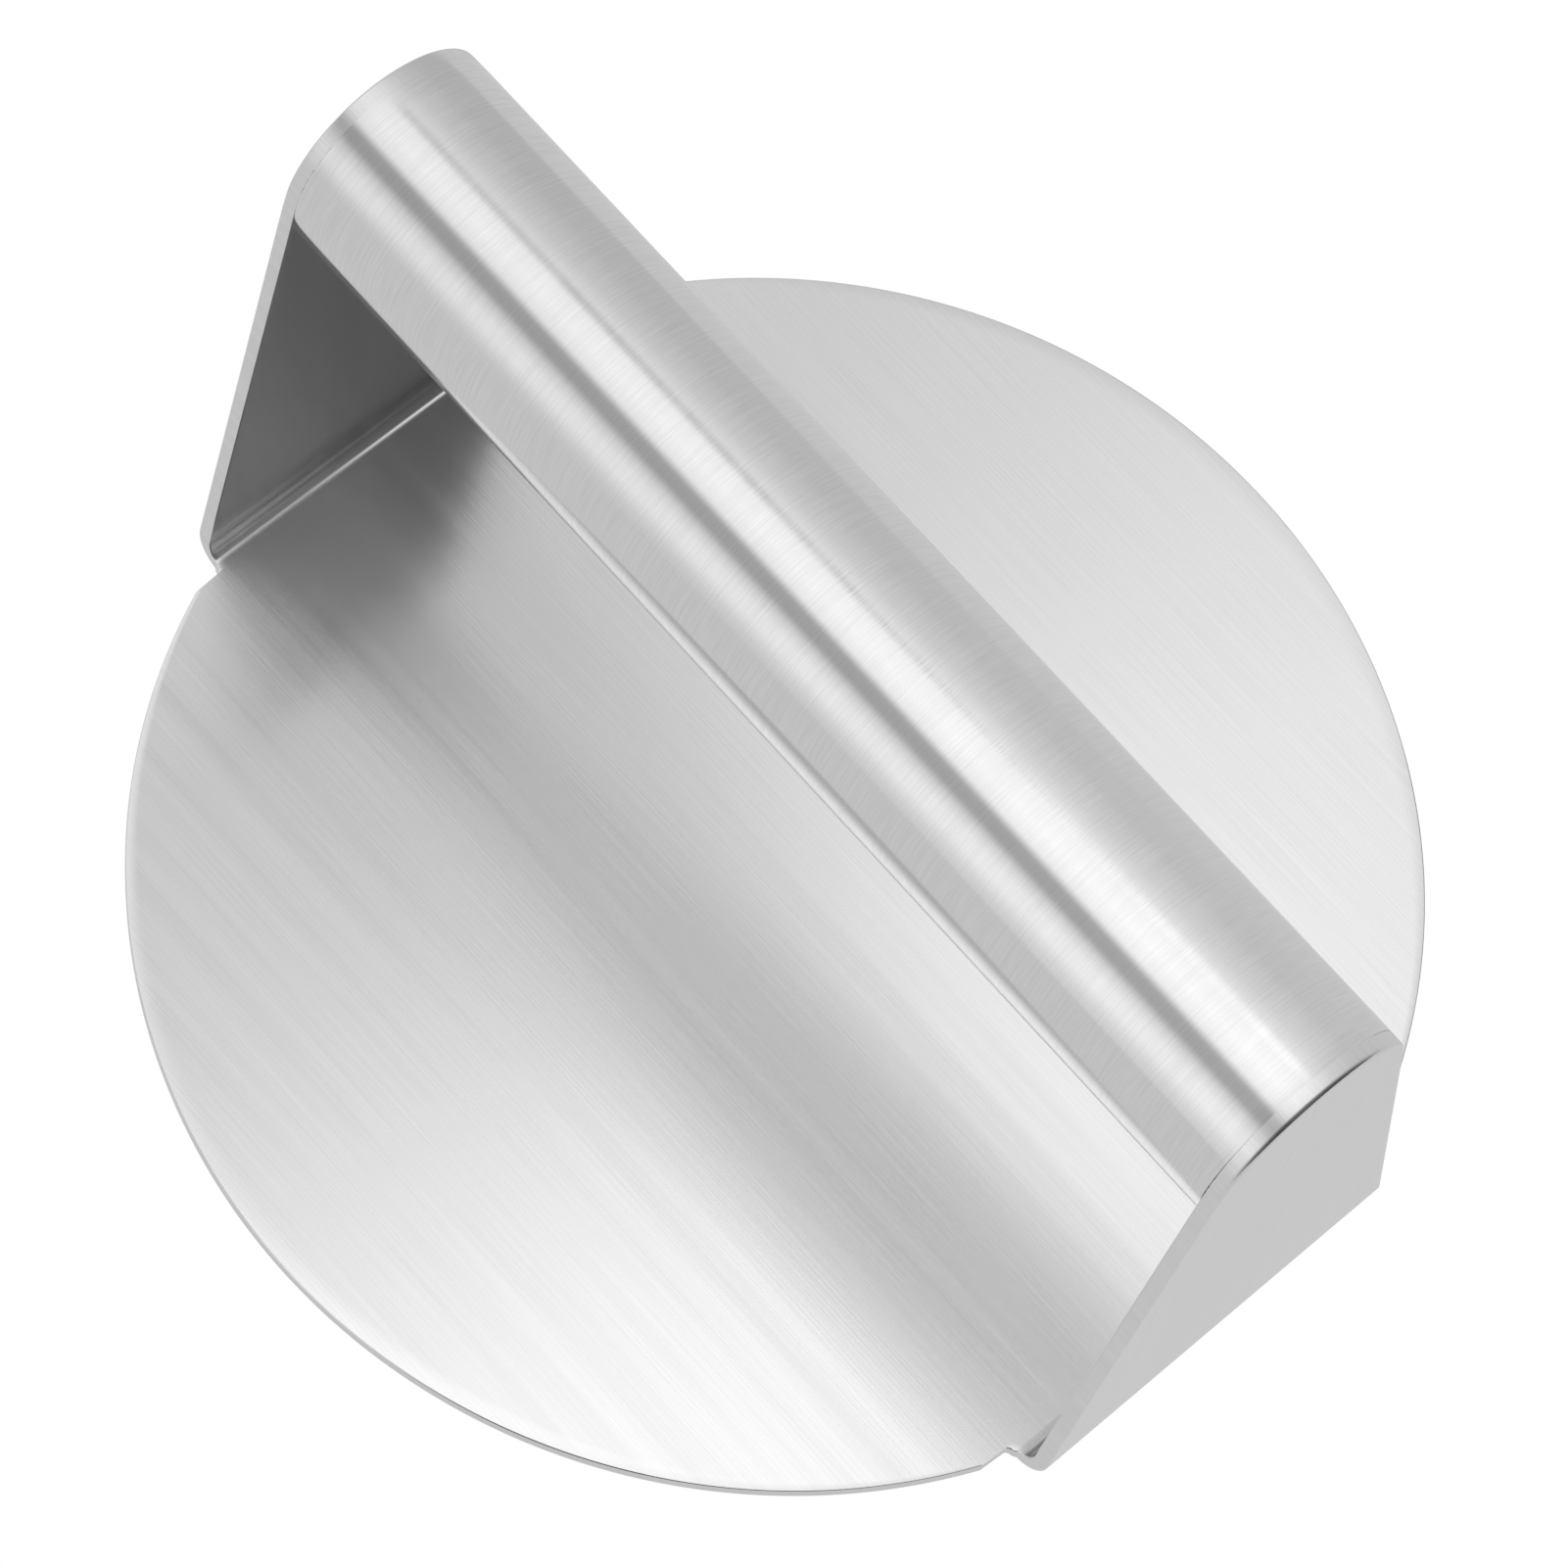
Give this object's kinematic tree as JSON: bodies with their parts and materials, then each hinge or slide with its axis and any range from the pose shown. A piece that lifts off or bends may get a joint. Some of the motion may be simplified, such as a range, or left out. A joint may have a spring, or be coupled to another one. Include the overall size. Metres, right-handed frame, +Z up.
{
  "type": "meat press",
  "caption": "Round steel griddle press with a flat pressing plate, upright side plates and a round tube handle across the top.",
  "frame": {"origin": "centre of the pressing plate's underside", "axes": "+X along the handle, +Z up, away from the pressing face"},
  "size_m": [0.1376, 0.14, 0.0778],
  "materials": {
    "plate_steel": "straight brushed grain along the handle, upright grain on the side plates",
    "tube_steel": "fine brushing round the tube",
    "weld_steel": "ground flush and blended"
  },
  "bodies": {
    "root": {"press_plate": "plate_steel", "handle_tube": "tube_steel", "weld_right": "weld_steel", "weld_left": "weld_steel"}
  },
  "joints": []
}
